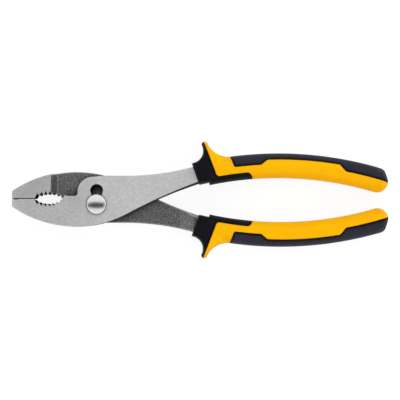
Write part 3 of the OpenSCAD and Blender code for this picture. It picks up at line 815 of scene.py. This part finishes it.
def core_height(place, offset, gap):
    """The core and the back of the guard, which flows into it."""
    body = oval(offset) * closing(gap["end"], END_ROUNDING)
    guard = guard_height(place, offset) * closing(np.minimum(gap["guard"], gap["back"]), GUARD_ROUNDING)
    raised = np.minimum(blended_top(body, guard), HALF_THICKNESS)
    return np.where(offset > 0, raised, body)


def pad_height(place, offset, gap):
    """The pad, which follows the grip's section."""
    return oval(offset) * closing(gap["end"], END_ROUNDING)


HEIGHTS = {"collar": collar_height, "core": core_height, "pad": pad_height}


# Meshes of the grip's pieces

def distances(points, line):
    """Distance of each point from a line of points."""
    start, end = line[:-1], line[1:]
    run = end - start
    reach = points[:, None, :] - start[None, :, :]
    length = np.maximum((run ** 2).sum(axis=1), SAME_POINT ** 2)
    share = np.clip((reach * run[None, :, :]).sum(axis=2) / length, 0, 1)
    return np.sqrt(((reach - share[:, :, None] * run[None, :, :]) ** 2).sum(axis=2).min(axis=1))


def inside(points, loop):
    """Which points lie inside a closed loop."""
    x, y = points[:, 0, None], points[:, 1, None]
    x0, y0 = loop[None, :, 0], loop[None, :, 1]
    x1, y1 = np.roll(x0, -1, axis=1), np.roll(y0, -1, axis=1)
    spans = (y0 > y) != (y1 > y)
    rise = np.where(y1 == y0, 1, y1 - y0)
    crossed = spans & (x < (x1 - x0) * (y - y0) / rise + x0)
    return crossed.sum(axis=1) % 2 == 1


def joined(runs):
    """One closed outline from its runs, with the kind of edge that starts at each point."""
    points, kinds = [], []
    for kind, run in runs:
        for point in run[:-1]:
            if points and (point - points[-1]).length < SAME_POINT:
                continue
            points.append(point)
            kinds.append(kind)
    return np.array(points), kinds


def filled(outline):
    """Points over an outline: rows along its edge, closer together near it, and a grid inside."""
    along = np.roll(outline, -1, axis=0) - np.roll(outline, 1, axis=0)
    along /= np.linalg.norm(along, axis=1)[:, None]
    inward = np.stack([-along[:, 1], along[:, 0]], axis=1)
    closed = np.vstack([outline, outline[:1]])
    points = [outline]
    for depth in INNER_ROWS:
        stride = 1 if depth < 2 * OUTLINE_STEP else 2
        row = (outline + depth * inward)[::stride]
        clear = distances(row, closed) > ROW_CLEARANCE_SHARE * depth
        points.append(row[inside(row, outline) & clear])
    low, high = outline.min(axis=0), outline.max(axis=0)
    grid = np.stack(np.meshgrid(
        np.arange(low[0], high[0], GRID_STEP), np.arange(low[1], high[1], GRID_STEP)
    ), axis=-1).reshape(-1, 2)
    grid = grid[inside(grid, outline)]
    points.append(grid[distances(grid, closed) > INNER_ROWS[-1] + GRID_STEP / 2])
    return np.vstack(points)


def triangulated(outline):
    """An outline filled with triangles: its points, its faces, and the number of each outline point."""
    count = len(outline)
    edges = [(i, (i + 1) % count) for i in range(count)]
    points = [Vector(point) for point in filled(outline)]
    plan = delaunay_2d_cdt(points, edges, [], INSIDE_ONLY, PLAN_TOLERANCE)
    places, faces, origins = plan[0], plan[2], plan[3]
    number = {sources[0]: i for i, sources in enumerate(origins) if sources and sources[0] < count}
    return np.array([tuple(place) for place in places]), faces, [number[i] for i in range(count)]


def surface_heights(role, runs, points):
    """Height of a piece's surface at its points."""
    gap = {}
    for kind in ("front", "inner", "step", "guard", "back", "end", "seam"):
        lines = [np.array(run) for name, run in runs if name == kind]
        gaps = [distances(points, line) for line in lines]
        gap[kind] = np.min(gaps, axis=0) if gaps else np.full(len(points), np.inf)
    place, offset = along_and_across(points)
    height = HEIGHTS[role](place, offset, gap)
    return np.maximum(height - SEAM_DEPTH * (1 - closing(gap["seam"], SEAM_DEPTH)), 0)


def mark_seams(mesh, runs, side):
    """Gives each vertex its distance from the nearest seam, in millimetres."""
    points = np.array([(vertex.co.x / MM, side * vertex.co.y / MM) for vertex in mesh.vertices])
    lines = [np.array(run) for kind, run in runs if kind == "seam"]
    nearest = np.min([distances(points, line) for line in lines], axis=0)
    mesh.attributes.new(FROM_SEAM, "FLOAT", "POINT").data.foreach_set("value", nearest.astype(np.float32))


def grip_mesh(name, role, runs, side):
    """A closed mesh: a skin above, the same below, and walls down the seams."""
    outline, kinds = joined(runs)
    flat, triangles, ring = triangulated(outline)
    height = surface_heights(role, runs, flat)
    for i, number in enumerate(ring):
        if kinds[i] != "seam" and kinds[i - 1] != "seam":
            height[number] = 0
    vertices = [(x * MM, side * y * MM, (MID_HEIGHT + z) * MM) for (x, y), z in zip(flat, height)]
    below = {}
    for i, z in enumerate(height):
        below[i] = i
        if z > 0:
            below[i] = len(vertices)
            x, y = flat[i]
            vertices.append((x * MM, side * y * MM, (MID_HEIGHT - z) * MM))
    faces = []
    for face in triangles:
        faces.append(tuple(face))
        faces.append(tuple(below[i] for i in reversed(face)))
    for kind, first, second in zip(kinds, ring, ring[1:] + ring[:1]):
        if kind == "seam":
            corners = [below[first], below[second], second, first]
            faces.append(tuple(dict.fromkeys(corners)))
    faces = [face for face in faces if len(set(face)) > 2]
    if side < 0:
        faces = [face[::-1] for face in faces]
    mesh = bpy.data.meshes.new(name)
    mesh.from_pydata(vertices, [], faces)
    mark_seams(mesh, runs, side)
    mesh.validate()
    mesh.shade_smooth()
    return mesh


def make_grips():
    """Both grips, each of three mouldings that replace the plainer solids."""
    outlines = grip_outlines()
    for handle, side, body in (("upper", 1, "front_half"), ("lower", -1, "rear_half")):
        for role, slot in (("core", "yellow_plastic"), ("collar", "black_collar"), ("pad", "black_pad")):
            name = f"{handle}_{role}_moulding"
            mesh = grip_mesh(name, role, outlines[role], side)
            mesh.materials.append(MATERIALS[slot])
            piece = bpy.data.objects.new(name, mesh)
            bpy.context.scene.collection.objects.link(piece)
            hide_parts(f"{handle}_grip_{role}")
            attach(piece, body)


make_grips()


# Stage: a white floor and backdrop, two soft lamps, and a dark card that the rivet mirrors

def seen_white(tree, glow):
    """A glow that only camera, glossy and transmission rays see."""
    path = add_node(tree, "ShaderNodeLightPath").outputs
    seen = combine(tree, "MAXIMUM", path["Is Camera Ray"], path["Is Glossy Ray"])
    seen = combine(tree, "MAXIMUM", seen, path["Is Transmission Ray"])
    return combine(tree, "MULTIPLY", seen, glow)


def stage_sheet(name, half_size, place, level, faces_down=False):
    """A flat matt sheet of one grey, which faces up or down."""
    half_x, half_y = half_size
    center = Vector(place)
    corners = [(-half_x, -half_y), (half_x, -half_y), (half_x, half_y), (-half_x, half_y)]
    face = (3, 2, 1, 0) if faces_down else (0, 1, 2, 3)
    mesh = bpy.data.meshes.new(name)
    mesh.from_pydata([(center.x + x, center.y + y, center.z) for x, y in corners], [], [face])
    sheet = bpy.data.objects.new(name, mesh)
    bpy.context.scene.collection.objects.link(sheet)
    material, tree, shader = new_material(name)
    shader.inputs["Base Color"].default_value = grey(level)
    shader.inputs["Roughness"].default_value = STAGE_ROUGHNESS
    mesh.materials.append(material)
    return sheet, tree, shader


def make_floor():
    """A grey floor under the tool, which glows to look white and keeps the shadow."""
    floor, tree, shader = stage_sheet("floor", FLOOR_HALF_SIZE, (0, 0, cad_low.z), FLOOR_GREY)
    shader.inputs["Emission Color"].default_value = grey(1.0)
    tree.links.new(seen_white(tree, FLOOR_GLOW), shader.inputs["Emission Strength"])


def make_flag():
    """A dark card above the camera, facing down, which polished steel mirrors as a band."""
    flag, *_ = stage_sheet("flag", CARD_HALF_SIZE, CARD_PLACE, CARD_GREY, faces_down=True)


def make_world():
    """An even white surround, a little dimmer as light than as background."""
    world = bpy.data.worlds.new("studio")
    bpy.context.scene.world = world
    world.use_nodes = True
    tree = world.node_tree
    background = tree.nodes["Background"]
    background.inputs["Color"].default_value = grey(1.0)
    strength = combine(tree, "ADD", seen_white(tree, 1.0 - AMBIENT), AMBIENT)
    tree.links.new(strength, background.inputs["Strength"])


def make_lamp(name, side, power):
    """A large soft lamp on one side of the tool, left out of mirror reflections."""
    light = bpy.data.lights.new(name, "AREA")
    light.shape = "RECTANGLE"
    light.size, light.size_y = LAMP_SIZE
    light.energy = power
    lamp = bpy.data.objects.new(name, light)
    x, y, z = LAMP_PLACE
    lamp.location = (x, side * y, z)
    lamp.visible_glossy = False
    direction = Vector((0, 0, MID_HEIGHT * MM)) - lamp.location
    lamp.rotation_mode = "QUATERNION"
    lamp.rotation_quaternion = direction.to_track_quat("-Z", "Y")
    bpy.context.scene.collection.objects.link(lamp)


def make_camera():
    """Looks down on the tool, a little from the side of the lower handle."""
    x, y = CAMERA_POINT
    center = Vector((x * MM, y * MM, MID_HEIGHT * MM))
    data = bpy.data.cameras.new("camera")
    data.sensor_width = SENSOR_WIDTH
    data.lens = data.sensor_width * CAMERA_DISTANCE / (CAMERA_FIELD * MM)
    camera = bpy.data.objects.new("camera", data)
    back = Vector((0, -math.sin(CAMERA_TILT), math.cos(CAMERA_TILT)))
    camera.location = center + CAMERA_DISTANCE * back
    camera.rotation_euler = (CAMERA_TILT, 0, CAMERA_ROLL)
    bpy.context.scene.collection.objects.link(camera)
    bpy.context.scene.camera = camera


make_floor()
make_world()
make_flag()
make_lamp("upper_softbox", 1, UPPER_POWER)
make_lamp("lower_softbox", -1, LOWER_POWER)
make_camera()
bpy.context.scene.view_settings.view_transform = "Standard"
